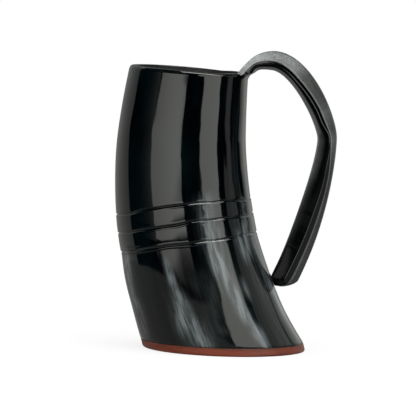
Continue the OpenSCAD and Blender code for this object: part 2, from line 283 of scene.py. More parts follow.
def hornCup():
    # one closed grid: up the carved outside, over the rim by two quarter circles, and down the plain bore;
    # the polish's unevenness calms down near the rim and near the foot
    h = horn
    angle = fullTurn(h["around"])
    ends = [h["discT"] + h["footBevel"], h["grooveH"][0] - h["margin"], h["grooveH"][2] + h["margin"],
            h["rimH"] - h["margin"]]
    runs = [np.linspace(a, b, n, endpoint=False) for a, b, n in zip(ends, ends[1:], h["ringCounts"])]
    runs.append(np.linspace(ends[-1], h["rimH"] - h["rimRound"] - h["rimGap"], h["ringCounts"][-1]))
    z = np.concatenate(runs)[:, None]
    fade = ease(*(h["rimH"] - below for below in h["calmRim"]), z) * ease(*h["calmFoot"], z)
    uneven = (ripple(z, angle) - h["rippleBack"]) * fade
    outer = hornPoint(stationOf(z), angle, h["inset"] + carve(z, angle) - uneven - flare(z, angle))
    foot = hornPoint(stationOf(h["discT"]), angle, h["inset"] + h["footBevel"])
    turn = quarterTurn(h["roundRings"])
    r, inner = rimRound(h["rimRound"], angle), rimRound(h["rimInner"], angle)
    edge, lift = h["inset"] - flare(h["rimH"], angle), rimLift(angle)
    edgeOut = hornPoint(1, angle, edge + r * (1 - np.cos(turn)), r * (1 - np.sin(turn)) - lift)
    edgeIn = hornPoint(1, angle, h["rimWall"] - inner * (1 - np.sin(turn)),
                       inner * (1 - np.cos(turn)) - lift)
    share = (1 - np.linspace(h["boreFrom"], 1, h["boreRings"]) ** h["borePower"])[:, None]
    bore = hornPoint(share, angle, wall(share))
    rings = np.vstack([foot, outer, edgeOut, edgeIn, bore])
    rim = len(edgeOut) + len(edgeIn)
    allZ = np.concatenate([[h["discT"]], z[:, 0], np.full(rim, h["rimH"]), stationZ(share[:, 0])])
    allZ = allZ[:, None] + 0 * angle
    # the pale mark stays outside; the raw, worn horn starts on the rim and fills the bore
    rimStart = len(z) + 1
    outside = np.zeros(rings.shape[:2])
    outside[:rimStart] = 1
    worn = np.ones(rings.shape[:2])
    worn[:rimStart] = 0
    worn[rimStart:rimStart + rim] = np.linspace(0, h["rimWorn"], rim)[:, None]
    marks = dict(flow=flowMark(h["flowR"], angle, allZ), pale=paleMark(allZ, angle) * outside, worn=worn)
    return gridMesh("horn_body", rings, loop=True, marks=marks)


# Pale growth streaks of the horn: angle, lower and upper height, half width in degrees, strength
streaks = (
    (-103, 4, 20, 7.5, 0.8), (-104, 18, 33, 5.5, 1.0), (-105.5, 29, 46, 3.0, 0.8),
    (-107.5, 42, 53, 2.4, 0.7), (-98, 3, 13, 4.0, 0.6), (-112, 12, 26, 4.0, 0.35),
    (-64, 34, 66, 8.0, 0.32), (-68, 44, 61, 3.2, 0.8), (-64.5, 40, 53, 2.8, 0.9), (-61, 26, 41, 3.8, 0.65),
    (-58.5, 20, 34, 3.4, 1.0), (-56, 10, 24, 3.2, 0.6), (-54, 3, 16, 2.8, 1.0), (-66, 62, 86, 7.0, 0.5),
    (-2, 22, 80, 15.0, 0.16), (-30, 4, 60, 9.0, 0.12), (-82, 12, 44, 6.0, 0.07),
    (-40, 50, 62, 3.0, 0.9), (-31, 52, 68, 3.4, 1.0), (-20, 34, 62, 4.0, 0.55),
    (-11, 22, 38, 5.0, 1.0), (-8, 6, 24, 4.5, 0.8), (-48, 33, 38, 2.2, 0.7), (-26, 62, 82, 5.0, 0.35),
    (-154, 24, 62, 5.0, 0.6), (-156, 44, 58, 4.0, 0.7), (-150, 8, 28, 5.0, 0.35),
    (28, 8, 70, 5.0, 0.6), (63, 6, 50, 4.0, 0.8), (104, 10, 66, 6.0, 0.7), (140, 4, 40, 5.0, 0.6),
    (84, 30, 60, 3.0, 0.4), (172, 10, 50, 5.0, 0.4),
)


streakEnds = dict(sway=1.4, swayRise=7, lowFade=(-5, 4), highFade=(6, -4))


def paleMark(z, angle):
    # sum of the streaks: each a bell curve across, which sways with the height and fades at both ends
    s = streakEnds
    total = np.zeros(z.shape)
    for middle, low, high, halfWide, strength in streaks:
        off = np.degrees(angle) - middle
        off = (off + 180) % 360 - 180 + s["sway"] * np.sin(z / s["swayRise"] + middle)
        along = ease(*(low + f for f in s["lowFade"]), z) * ease(*(high + f for f in s["highFade"]), z)
        total = total + strength * bump(0, halfWide, off) * along
    return np.clip(total, 0, 1)


# Handle: three curves end to end, from the rim over the bend, down the grip and in to the tip
grip = dict(
    bendRise=7.1, bendOut=48.4, gripOut=81.9, gripDrop=44.9, tipH=37.3, tipOutShare=0.267,
    rootPull=(0.323, 0.538), bendIn=0.608, bendAway=0.513, gripAbove=0.232, gripBelow=0.16,
    tipPull=(0.646, 0.351),
    thickAt=(0.142, 1.42, 2, 2.74), thick=(6.5, 12.3, 11, 15.4),
    wideAt=(0.1, 0.8, 2, 2.8), wide=(26.8, 25, 23, 18.5),
    cutAt=(0, 0.7, 1.3, 1.7, 2, 2.35, 2.9), cutDeep=(0.4, 0.46, 0.54, 0.42, 0.29, 0.17, 0.25),
    cutIn=(0.8, 0.62, 0.5, 0.54, 0.6, 0.62, 0.55), hollow=(1.6, 1.6, 1.6, 1.3, 1.0, 0.6, 0.0),
    cutBulge=0.035, neckEnd=0.6, filletEnd=0.14, leanEnd=0.45, softPasses=2, neckPasses=40, neckRings=100,
    # share of the sanded grey at each place along the handle, with painted light and shade: full on the top
    # of the first curve, painted shade at the root, over the bend and down the grip
    sandingAndPaintedLightAt=(0, 0.06, 0.25, 0.7, 0.95, 1.08, 1.2, 1.38, 1.55, 1.7, 1.85, 2.0, 2.3, 3),
    sandingAndPaintedLight=(0.16, 0.44, 1, 1, 0.55, 0.36, 0.44, 0.08, 0.05, 0.16, 0.08, 0.24, 0.09, 0.11),
    # painted reflection down the middle of the loop side, strongest low on the grip, and how far across the
    # loop side it reaches
    loopPaintedReflectionAt=(0, 1.5, 1.9, 2.3, 2.6, 2.9), loopPaintedReflection=(0.03, 0.08, 0.34, 0.42, 0.24, 0.04),
    # painted highlight along the arrises: a base share, and a share that follows the painted light along the
    # handle
    loopReflectionAcross=(0.5, 0.04), arrisPaintedHighlight=0.28, arrisHighlightAlong=0.2, hollowWorn=0.5, flowR=10,
    tipDome=8.5, tipGap=0.25, restShare=0.2, innerCorner=3.6, outerCorner=1.95, sideCorner=3.0,
    cornerAcross=(-2, 3), filedAt=(2, 2.4), domeTurn=88, domeRings=21, runRings=90, runSplit=0.8, step=0.01,
    sidePoints=65, cutPoints=15, hollowPoints=31,
    keelAt=(0, 0.8, 1.4, 1.75, 2.0, 2.2, 2.5, 3), keel=(0.8, 1.6, 2.2, 2.5, 3.5, 3.2, 1.5, 1.2),
    stripAt=(0, 0.8, 1.4, 1.75, 1.95, 2.1, 2.3, 2.6, 3), strip=(1.0, 1.9, 2.3, 2.2, 1.0, 0.9, 2.3, 3.4, 3.9),
    facetTurn=46, ridgeW=0.5, ridgeAt=(0, 1.95, 2.15, 3), ridgeDrop=(0.28, 0.28, -0.13, -0.13),
    facetShares=(0, 0.16, 0.34, 0.66, 0.78, 1), tipShear=0.42, tipOver=0.8, keelProud=0.4, stripLean=0.1,
    keelKnee=(0.3, 0.5), keelFade=(3, 2.5), shoulderLeast=0.3,
)


def gripCurves():
    # four points for each cubic curve: rim to bend, bend to grip, grip to tip. The curve is level at the
    # bend and upright at the grip, so the pieces join without a kink
    g, h = grip, horn
    mouthX = float(middleX(1.0))
    lean = math.radians(h["rimTilt"])
    mid = (h["mouthW"] / 2 + (h["mouthW"] / 2 - h["rimWall"]) * math.cos(rootTurn)) / 2
    root = np.array([mouthX + mid * math.cos(lean), h["rimH"] + mid * math.sin(lean)])
    bend = np.array([mouthX + g["bendOut"], h["rimH"] + g["bendRise"]])
    far = bend + [g["gripOut"] - g["bendOut"], -g["gripDrop"]]
    t = stationOf(g["tipH"])
    side = float(middleX(t) + width(t) / 2)
    tip = np.array([side + g["thick"][3] * g["tipOutShare"], g["tipH"]])
    reach, climb = bend - root
    fall = far[1] - tip[1]
    return [
        [root, root + [reach * g["rootPull"][0], climb * g["rootPull"][1]],
         bend - [reach * g["bendIn"], 0], bend],
        [bend, bend + [(far - bend)[0] * g["bendAway"], 0],
         far + [0, g["gripDrop"] * g["gripAbove"]], far],
        [far, far - [0, fall * g["gripBelow"]],
         tip + [(far - tip)[0] * g["tipPull"][0], fall * g["tipPull"][1]], tip]]


def gripMid(place):
    # point on the three cubic curves; place runs from 0 at the rim to 3 at the tip
    k = np.minimum(np.floor(place), 2).astype(int)
    c = np.array(gripCurves())[k]
    t = (place - k)[:, None]
    s = 1 - t
    return c[:, 0] * s ** 3 + 3 * c[:, 1] * s * s * t + 3 * c[:, 2] * s * t * t + c[:, 3] * t ** 3


def sideCurve(place, t, w, edge):
    # half of the loop side as straight facets, from its middle to the arris: a keel of two facets, a filed
    # facet at facetTurn, a narrow ridge, and a strip that leans in a little towards the arris
    g = grip
    keel = keyed(g["keelAt"], g["keel"], place)[:, None]
    strip = keyed(g["stripAt"], g["strip"], place)[:, None]
    ridge = edge - strip
    rise = (ridge + t / 2 - keel) * math.tan(math.radians(g["facetTurn"]))
    shoulder = np.maximum(w - rise, w * g["shoulderLeast"])
    drop = w - keyed(g["ridgeAt"], g["ridgeDrop"], place)[:, None]
    inner = -t / 2 - g["keelProud"] * ease(*g["keelFade"], place)[:, None]
    kneeUp, kneeOut = g["keelKnee"]
    u = np.concatenate([inner, inner + keel * kneeUp, keel - t / 2, ridge, ridge + g["ridgeW"], edge], 1)
    v = np.concatenate([0 * t, shoulder * kneeOut, shoulder, w, drop, drop - g["stripLean"] * strip], 1)
    share = np.linspace(0, 1, g["sidePoints"])
    weights = np.stack([np.interp(share, g["facetShares"], row) for row in np.eye(u.shape[1])])
    return u @ weights, v @ weights


def gripSection(place):
    # points across (v) and away from the loop (u) for each place, as rows x points, with the sanding mark
    # and the arrises' points, where a painted highlight goes
    g = grip
    t = keyed(g["thickAt"], g["thick"], place)[:, None]
    w = keyed(g["wideAt"], g["wide"], place)[:, None] / 2
    deep = keyed(g["cutAt"], g["cutDeep"], place)[:, None]
    top = w * keyed(g["cutAt"], g["cutIn"], place)[:, None]
    hollow = keyed(g["cutAt"], g["hollow"], place)[:, None]
    edge = t / 2 - t * deep
    halfU, halfV = sideCurve(place, t, w, edge)
    sideU = np.concatenate([halfU[:, ::-1], halfU[:, 1:]], 1)
    sideV = np.concatenate([-halfV[:, ::-1], halfV[:, 1:]], 1)
    k = np.linspace(0, 1, g["cutPoints"] + 2)[1:-1]
    swell = t * g["cutBulge"] * 4 * k * (1 - k)
    cutU, cutV = mix(edge, t / 2, k) + swell, mix(halfV[:, -1:], top, k) + swell
    p = np.linspace(1, -1, g["hollowPoints"])
    topU, topV = t / 2 - hollow * (1 - p * p), top * p
    u = np.concatenate([sideU, cutU, topU, cutU[:, ::-1]], 1)
    v = np.concatenate([sideV, cutV, topV, -cutV[:, ::-1]], 1)
    # sanding mark: full on the cut, less on the hollow top, nothing on the loop side
    n, c = 2 * g["sidePoints"] - 1, g["cutPoints"]
    mark = np.concatenate([np.zeros(n), np.ones(c), np.full(g["hollowPoints"], g["hollowWorn"]), np.ones(c)])
    # the arrises' points, which get a painted highlight
    arris = np.zeros(len(mark))
    arris[[0, 1, n - 2, n - 1, n, len(mark) - 1]] = 1
    return u, v, mark, arris


def rootSection():
    # the cut face of the horn's wall on the rim, in the same order of points as gripSection
    g, h = grip, horn
    outAngle = np.linspace(-rootTurn, rootTurn, 2 * g["sidePoints"] - 1)
    out = hornPoint(1, outAngle, h["inset"] - flare(h["rimH"], outAngle))
    inner = hornPoint(1, np.linspace(rootTurn, -rootTurn, g["hollowPoints"]), h["rimWall"])
    k = np.linspace(0, 1, g["cutPoints"] + 2)[1:-1, None]
    return np.vstack([out, mix(out[-1], inner[0], k), inner, mix(inner[-1], out[0], k)])


def soften(rings, passes):
    # rounds the arrises: each point moves to the mean of itself and its two neighbours in the ring
    for _ in range(passes):
        rings = rings / 2 + (np.roll(rings, 1, 1) + np.roll(rings, -1, 1)) / 4
    return rings


def unitRows(v):
    # each row divided by its own length
    return v / np.linalg.norm(v, axis=1)[:, None]


def handleRings():
    # the section carried square to the curves; near the rim it turns into the cut face of the wall
    g, h = grip, horn
    tipCurve, n, split = gripCurves()[2], g["runRings"], g["runSplit"]
    domeStart = 3 - (g["tipDome"] - g["tipOver"]) / np.linalg.norm(tipCurve[0] - tipCurve[3])
    turn = np.radians(np.linspace(0, g["domeTurn"], g["domeRings"] + 1))[1:]
    place = np.concatenate([
        np.linspace(0, split, n, endpoint=False), np.linspace(split, 2, n, endpoint=False),
        np.linspace(2, domeStart, n), np.full(len(turn), domeStart)])
    reach = np.concatenate([np.zeros(3 * n), np.sin(turn)])[:, None]
    mid = gripMid(place)
    way = unitRows(gripMid(np.minimum(place + g["step"], 3)) - gripMid(np.maximum(place - g["step"], 0)))
    lean = math.radians(h["rimTilt"])
    rootUp = np.array([-math.sin(lean), math.cos(lean)])
    way = unitRows(mix(rootUp, way, ease(0, g["leanEnd"], place)[:, None]))
    u, v, mark, arris = gripSection(place)
    root = rootSection()
    off = root[:, [0, 2]] - gripCurves()[0][0]
    rootAlong = off @ rootUp
    rootOut = off @ np.array([-rootUp[1], rootUp[0]])
    share = ease(0, g["neckEnd"], place)[:, None]
    wide = ease(0, g["filletEnd"], place)[:, None]
    # the tip closes as a superellipse, square on its inner corner and round on the outer one
    corner = mix(g["innerCorner"], g["outerCorner"], ease(*g["cornerAcross"], u))
    u = mix(rootOut, u, share) * (1 - reach ** corner) ** (1 / corner)
    # and reaches further ahead on its loop side
    along = rootAlong * (1 - share) + reach * (g["tipDome"] - g["tipShear"] * u)
    v = mix(root[:, 1], v, wide) * (1 - reach ** g["sideCorner"]) ** (1 / g["sideCorner"])
    out = np.stack([-way[:, 1], way[:, 0]], 1)
    rings = np.stack([
        mid[:, :1] + way[:, :1] * along + out[:, :1] * u,
        v,
        mid[:, 1:] + way[:, 1:] * along + out[:, 1:] * u], -1)
    return rings, place, mark, arris


def restFrame():
    # point of the wall where the tip rests, and the wall's outward normal there
    g = grip
    t = float(stationOf(g["tipH"] + g["tipDome"] * g["restShare"]))
    at, low, high = (hornPoint(t + d, 0.0) for d in (0, -g["step"], g["step"]))
    way = (high - low) / np.linalg.norm(high - low)
    return at, np.array([way[2], 0, -way[0]])


def handleMesh():
    # the section's rings with their arrises rounded, the neck smoothed and the tip filed flat
    g = grip
    rings, place, mark, arris = handleRings()
    rings[1:] = soften(rings[1:], g["softPasses"])
    # the neck's kinks are filed away along the handle: each ring moves to the mean of itself and its two
    # neighbours, while the first and the last ring stay
    neck = rings[:g["neckRings"]]
    for _ in range(g["neckPasses"]):
        neck[1:-1] = neck[1:-1] / 2 + (neck[:-2] + neck[2:]) / 4
    # the tip is filed flat where it meets the wall
    at, normal = restFrame()
    short = np.clip(g["tipGap"] - (rings - at) @ normal, 0, None) * ease(*g["filedAt"], place)[:, None]
    rings = rings + short[..., None] * normal
    lengths = np.linalg.norm(np.diff(rings.mean(1), axis=0), axis=1)
    run = np.concatenate([[0], np.cumsum(lengths)])[:, None]
    flow = flowMark(g["flowR"], fullTurn(rings.shape[1]), run)
    # painted light and shade on the sanded grey along the handle
    paintedLightAlong = keyed(g["sandingAndPaintedLightAt"], g["sandingAndPaintedLight"], place)[:, None]
    # a painted reflection lies along the middle of the loop side too, strongest low on the grip
    loopReflectionMask = np.zeros(rings.shape[1])
    n = 2 * g["sidePoints"] - 1
    loopReflectionMask[:n] = ease(*g["loopReflectionAcross"], np.abs(np.linspace(-1, 1, n)))
    loopPaintedReflection = keyed(g["loopPaintedReflectionAt"], g["loopPaintedReflection"], place)[:, None]
    # sanded grey with its painted light and shade, plus the painted reflection on the loop side and the
    # painted highlight on the arrises
    sanded = mark * paintedLightAlong + loopReflectionMask * loopPaintedReflection + arris * (g["arrisPaintedHighlight"] + g["arrisHighlightAlong"] * paintedLightAlong)
    marks = dict(flow=flow, worn=mark + 0 * run, sandingAndPaintedLight=sanded)
    return gridMesh("handle_strip", rings, poles=(True, True), marks=marks)


# Wooden disc: carries on the horn's slant, with rounded edges, and a step that stands in the bore
disc = dict(
    thick=5, glueT=0.4, lowRound=1.1, topRound=0.35, stepH=4.5, stepGap=0.6, inset=0.05, around=240,
    wander=0.05, wanderWaves=(3, 5, 8, 13), wanderHeights=(1, 0.8, 0.6, 0.5), seed=5,
    middleIn=36, flatGap=2, sideGap=0.3, flatRings=5, sideRings=8, roundRings=9,
)


def discRing(z, inset, angle):
    # the horn's own outline at a height, moved in by inset
    return hornPoint(stationOf(np.asarray(z, float)), angle, inset)


def unevenEdge(piece, angle):
    # hand-made edge: a sum of sines round the piece
    return piece["wander"] * waves(angle, piece["wanderWaves"], piece["wanderHeights"], piece["seed"])


def baseMesh():
    # out along the underside, up the side with a quarter circle at both edges, in to the step and up it
    d = disc
    angle, q = fullTurn(d["around"]), quarterTurn(d["roundRings"])
    low, high, edge = d["lowRound"], d["topRound"], d["inset"] + unevenEdge(d, angle)
    top, stepTop = d["thick"] - d["glueT"], d["thick"] + d["stepH"]
    stepIn = horn["footWall"] + d["stepGap"]
    rows = np.vstack([
        discRing(0, np.linspace(d["middleIn"], low + d["flatGap"], d["flatRings"])[:, None], angle),
        discRing(low * (1 - np.cos(q)), edge + low * (1 - np.sin(q)), angle),
        discRing(np.linspace(low + d["sideGap"], top - high, d["sideRings"])[:, None], edge, angle),
        discRing(top - high * (1 - np.sin(q)), edge + high * (1 - np.cos(q)), angle),
        discRing(top, stepIn, angle),
        discRing(stepTop, stepIn, angle),
        discRing(stepTop, d["middleIn"], angle)])
    return gridMesh("foot_disc", rows, poles=(True, True))


# Glue bed under the horn, with a collar round the disc's step
glue = dict(
    inset=0.45, bulge=0.1, around=160,
    wander=0.12, wanderWaves=(5, 9, 14, 23), wanderHeights=(1, 0.8, 0.7, 0.5), seed=8,
)


def glueMesh():
    # a closed ring: the uneven bead bulges half way up, and the collar fills the gap round the step
    g, d = glue, disc
    angle = fullTurn(g["around"])
    low, top, stepTop = d["thick"] - d["glueT"], d["thick"], d["thick"] + d["stepH"]
    edge = g["inset"] + unevenEdge(g, angle)
    foot, bore = horn["footWall"], float(wall(stationOf(stepTop)))
    rows = np.vstack([discRing(z, inset, angle) for z, inset in (
        (low, edge), ((low + top) / 2, edge - g["bulge"]), (top, edge), (top, foot),
        (stepTop, bore), (stepTop, bore + d["stepGap"]), (low, foot + d["stepGap"]))])
    return gridMesh("glue_bed", rows, loop=True)


# Resin floor, poured in over the step
resin = dict(
    thick=2.5, fillet=1.5, middleIn=33, flatFrom=2.2, wavyFrom=2.3, filletRings=10, flatRings=12, around=160,
    wander=0.04, wanderWaves=(2, 3), wanderHeights=(1, 1), seed=3,
)


def sealMesh():
    # meniscus: the resin climbs the wall along a quarter circle; further in its top is a little uneven
    r, d = resin, disc
    angle, q = fullTurn(r["around"]), quarterTurn(r["filletRings"])
    low = d["thick"] + d["stepH"]
    top = low + r["thick"]
    rise, back = r["fillet"] * (1 - np.sin(q)), r["fillet"] * (1 - np.cos(q))
    edge = wall(stationOf(top + rise))
    flat = np.linspace(r["flatFrom"] * r["fillet"], r["middleIn"], r["flatRings"])[:, None]
    uneven = unevenEdge(r, angle) * (flat > r["wavyFrom"] * r["fillet"])
    rows = np.vstack([
        discRing(low, r["middleIn"], angle),
        discRing(low, float(wall(stationOf(low))), angle),
        discRing(top + rise, edge + back, angle),
        discRing(top + uneven, float(wall(stationOf(top))) + flat, angle)])
    return gridMesh("resin_floor", rows, poles=(True, True))


# Squeezed bead of glue round the filed seat of the tip
pad = dict(
    radius=2.6, around=64, rise=(0.02, 0.05, 0.12, 0.18, 0.22), grow=(0.96, 1.1, 1.02, 1.05, 0.9),
    wander=0.08, wanderWaves=(2, 3, 5), wanderHeights=(1, 0.7, 0.5), seed=17,
)


def padMesh():
    # rings on the wall, one over the other, each grown by its own share
    at, normal = restFrame()
    across = np.array([0, 1.0, 0])
    up = np.cross(normal, across)
    angle = fullTurn(pad["around"])
    rise, grow = (np.array(pad[key])[:, None] for key in ("rise", "grow"))
    radius = pad["radius"] * (1 + unevenEdge(pad, angle)) * grow
    spot = (at + rise[..., None] * normal + (radius * np.cos(angle))[..., None] * across
            + (radius * np.sin(angle))[..., None] * up)
    return gridMesh("glue_pad", spot, poles=(True, True), sharpOver=180)


# Shader nodes
def feed(tree, socket, value):
    # a link from another node's output, or a constant
    if isinstance(value, bpy.types.NodeSocket):
        tree.links.new(value, socket)
    else:
        socket.default_value = value


def addNode(tree, kind, inputs=None, **settings):
    # a node of this kind with its settings, and its inputs fed by number or name
    node = tree.nodes.new("ShaderNode" + kind)
    for key, value in settings.items():
        setattr(node, key, value)
    for key, value in (inputs or {}).items():
        feed(tree, node.inputs[key], value)
    return node


def emptyTree(owner, output):
    # nodes of a new material or world, with its output alone in them, and the socket that its shader feeds
    owner.use_nodes = True
    owner.node_tree.nodes.clear()
    return owner.node_tree, addNode(owner.node_tree, output).inputs[0]


def newMaterial(name):
    # an empty material, its nodes, and the socket that its shader feeds
    material = bpy.data.materials.new(name)
    return material, *emptyTree(material, "OutputMaterial")


def addShader(tree, out, kind, inputs):
    # the shader itself, on the output's socket
    feed(tree, out, addNode(tree, kind, inputs).outputs[0])


def newGroup(name, sizes, outs):
    # a shared effect on the flow mark, with its sizes as further inputs
    group = bpy.data.node_groups.new(name, "ShaderNodeTree")
    group.interface.new_socket("Flow", in_out="INPUT", socket_type="NodeSocketVector")
    for label, size in sizes.items():
        group.interface.new_socket(label, in_out="INPUT", socket_type="NodeSocketFloat").default_value = size
    for label in outs:
        group.interface.new_socket(label, in_out="OUTPUT", socket_type="NodeSocketFloat")
    return group, group.nodes.new("NodeGroupInput").outputs, group.nodes.new("NodeGroupOutput").inputs


def calc(tree, operation, *values):
    # one operation on values that change over the surface
    return addNode(tree, "Math", dict(enumerate(values)), operation=operation).outputs[0]


def remap(tree, value, low, high, toLow=0.0, toHigh=1.0):
    # smooth step from low to high
    inputs = {0: value, 1: low, 2: high, 3: toLow, 4: toHigh}
    return addNode(tree, "MapRange", inputs, interpolation_type="SMOOTHSTEP").outputs[0]


def mixColour(tree, share, a, b):
    # from colour a at share 0 to colour b at share 1
    return addNode(tree, "Mix", {"Factor": share, 6: a, 7: b}, data_type="RGBA").outputs[2]


def relief(tree, height, strength, distance):
    # normals of a fine relief; distance is its depth in metres
    inputs = {"Strength": strength, "Distance": distance, "Height": height}
    return addNode(tree, "Bump", inputs).outputs[0]


def noise(tree, place, scale, detail=3.0, roughness=0.55):
    # soft random clouds, smaller as the scale grows
    inputs = {"Vector": place, "Scale": scale, "Detail": detail, "Roughness": roughness}
    return addNode(tree, "TexNoise", inputs).outputs["Fac"]


def mark(tree, name, output="Fac"):
    # a mark that the mesh carries at its points
    return addNode(tree, "Attribute", attribute_name=name).outputs[output]


def squashed(tree, place, stretch):
    # the same place with its length along the growth made shorter, so that patterns on it are long
    along = addNode(tree, "CombineXYZ", {0: 1.0, 1: 1.0, 2: stretch}).outputs[0]
    return addNode(tree, "VectorMath", {0: place, 1: along}, operation="MULTIPLY").outputs[0]


# Noises of the two groups: scale, detail and roughness, and where they are cut
fibreNoise = dict(fine=(1.1, 5.0, 0.6), broad=(0.22, 3.0, 0.55))
sandNoise = dict(
    lines=(4.5, 3.0, 0.7), lineCut=(0.42, 0.62), mottle=(0.16, 4.0, 0.55),
    hatch=(0.09, 2.0, 0.6), hatchCut=(0.35, 0.65), hatchStretch=12.0,
)


def fibreGroup():
    # long fibres of the horn: noise on the flow mark, stretched along the growth, at two scales
    group, ins, outs = newGroup("horn_fibres", dict(Scale=1.0, Stretch=0.08), ("Fine", "Broad"))
    inputs = {0: squashed(group, ins["Flow"], ins["Stretch"]), "Scale": ins["Scale"]}
    sized = addNode(group, "VectorMath", inputs, operation="SCALE").outputs[0]
    feed(group, outs["Fine"], noise(group, sized, *fibreNoise["fine"]))
    feed(group, outs["Broad"], noise(group, sized, *fibreNoise["broad"]))
    return group


def scratchGroup():
    # sanding marks: noise cut to thin lines along the strip, a hatching across it, and a soft mottling
    s = sandNoise
    group, ins, outs = newGroup("sanding_marks", dict(Stretch=0.05), ("Lines", "Hatch", "Mottle"))
    lines = noise(group, squashed(group, ins["Flow"], ins["Stretch"]), *s["lines"])
    hatch = noise(group, squashed(group, ins["Flow"], s["hatchStretch"]), *s["hatch"])
    feed(group, outs["Lines"], remap(group, lines, *s["lineCut"]))
    feed(group, outs["Hatch"], remap(group, hatch, *s["hatchCut"]))
    feed(group, outs["Mottle"], noise(group, ins["Flow"], *s["mottle"]))
    return group


hornLook = dict(
    dark=(0.0004, 0.0009, 0.0018, 1), grey=(0.0058, 0.0075, 0.0068, 1), teal=(0.0014, 0.0072, 0.0085, 1),
    pale=(0.33, 0.38, 0.39, 1), raw=(0.03, 0.032, 0.031, 1),
    greyFrom=58, greyTo=36, gloss=0.06, wornGloss=0.5, ior=1.5, paleReach=0.8,
    fibreScale=0.6, fibreStretch=0.1, cloudCut=(0.36, 0.62), tealScale=0.05, tealStretch=0.3,
    tealCut=(0.45, 0.7), tealReach=0.7, threadCut=(0.34, 0.62), threadLeast=0.2,
    glossCut=(0.3, 0.8), glossSpread=(0.8, 1.35), relief=(0.08, 0.0001),
)


def hornMaterial(fibres):
    # near black with teal clouds, grey clouds low down, pale streaks outside and raw horn inside
    m = hornLook
    material, tree, out = newMaterial("polished_horn")
    flow = mark(tree, "flow", "Vector")
    grain = addNode(tree, "Group", node_tree=fibres, inputs={
        "Flow": flow, "Scale": m["fibreScale"], "Stretch": m["fibreStretch"]})
    broad, fine = grain.outputs["Broad"], grain.outputs["Fine"]
    height = addNode(tree, "SeparateXYZ", {0: flow}).outputs[2]
    low = remap(tree, height, m["greyTo"], m["greyFrom"], 1.0, 0.0)
    cloud = remap(tree, broad, *m["cloudCut"])
    tealNoise = noise(tree, squashed(tree, flow, m["tealStretch"]), m["tealScale"])
    teal = calc(tree, "MULTIPLY", remap(tree, tealNoise, *m["tealCut"]), m["tealReach"])
    ground = mixColour(tree, teal, m["dark"], m["teal"])
    ground = mixColour(tree, calc(tree, "MULTIPLY", low, cloud), ground, m["grey"])
    # the pale mark is broken up by the fibres, so that a streak frays at its ends
    thread = remap(tree, fine, *m["threadCut"], m["threadLeast"], 1.0)
    pale = calc(tree, "MULTIPLY", mark(tree, "pale"), thread)
    colour = mixColour(tree, calc(tree, "MULTIPLY", pale, m["paleReach"]), ground, m["pale"])
    worn = mark(tree, "worn")
    dull = calc(tree, "MULTIPLY", worn, m["wornGloss"] - m["gloss"])
    polish = remap(tree, fine, *m["glossCut"], *(m["gloss"] * share for share in m["glossSpread"]))
    addShader(tree, out, "BsdfPrincipled", {
        "Base Color": mixColour(tree, worn, colour, m["raw"]), "IOR": m["ior"],
        "Roughness": calc(tree, "ADD", dull, polish), "Normal": relief(tree, fine, *m["relief"])})
    return material


# the sanded grey is also the colour of the handle's painted light, painted reflection and painted highlights
handleLook = dict(
    dark=(0.0005, 0.0014, 0.0017, 1), sanded=(0.43, 0.46, 0.46, 1), line=(0.6, 0.62, 0.61, 1),
    gloss=0.13, matt=0.42, ior=1.5, stretch=0.045, strokeReach=0.5, mottleCut=(0.3, 0.7), mottleLeast=0.75,
    glossCut=(0.05, 0.95), relief=(0.3, 0.00015),
)


def handleMaterial(scratches):
    # polished black horn, grey where the mark of sanding and painted light lies: the sanded grey with
    # painted light and shade along the handle, a painted reflection on the loop side and painted highlights
    # on the arrises; matt and scratched where it was sanded
    m = handleLook
    material, tree, out = newMaterial("handle_horn")
    sanding = addNode(tree, "Group", node_tree=scratches, inputs={
        "Flow": mark(tree, "flow", "Vector"), "Stretch": m["stretch"]})
    lines, worn = sanding.outputs["Lines"], mark(tree, "worn")
    strokes = calc(tree, "ADD", lines, sanding.outputs["Hatch"])
    grey = mixColour(tree, calc(tree, "MULTIPLY", strokes, m["strokeReach"]), m["sanded"], m["line"])
    mottle = remap(tree, sanding.outputs["Mottle"], *m["mottleCut"], m["mottleLeast"], 1.0)
    # share of grey: sanded faces with painted light and shade, the painted reflection on the loop side and
    # the painted highlights on the arrises, mottled
    amount = calc(tree, "MULTIPLY", mark(tree, "sandingAndPaintedLight"), mottle)
    addShader(tree, out, "BsdfPrincipled", {
        "Base Color": mixColour(tree, amount, m["dark"], grey), "IOR": m["ior"],
        "Roughness": remap(tree, worn, *m["glossCut"], m["gloss"], m["matt"]),
        "Normal": relief(tree, calc(tree, "MULTIPLY", lines, worn), *m["relief"])})
    return material


woodLook = dict(
    light=(0.31, 0.058, 0.024, 1), dark=(0.15, 0.027, 0.011, 1), pore=(0.06, 0.012, 0.006, 1),
    along=(9.0, 60.0, 320.0), turn=(0.03, 0.05, 0.3), rings=(1.0, 6.0, 0.62), ringCut=(0.36, 0.66),
    poresAlong=(60.0, 500.0, 1500.0), poresTurn=(0.0, 0.04, 0.3), pores=(1.0, 2.0, 0.55),
    poreCut=(0.6, 0.72), poreReach=0.7, glossCut=(0.3, 0.7), gloss=(0.52, 0.42), relief=(0.25, 0.0001),
)


def grained(tree, scale, turn, look):
    # noise on the piece's own place, scaled along each axis and turned
    place = addNode(tree, "TexCoord").outputs["Object"]
    inputs = {"Vector": place, "Scale": scale, "Rotation": turn}
    return noise(tree, addNode(tree, "Mapping", inputs).outputs[0], *look)


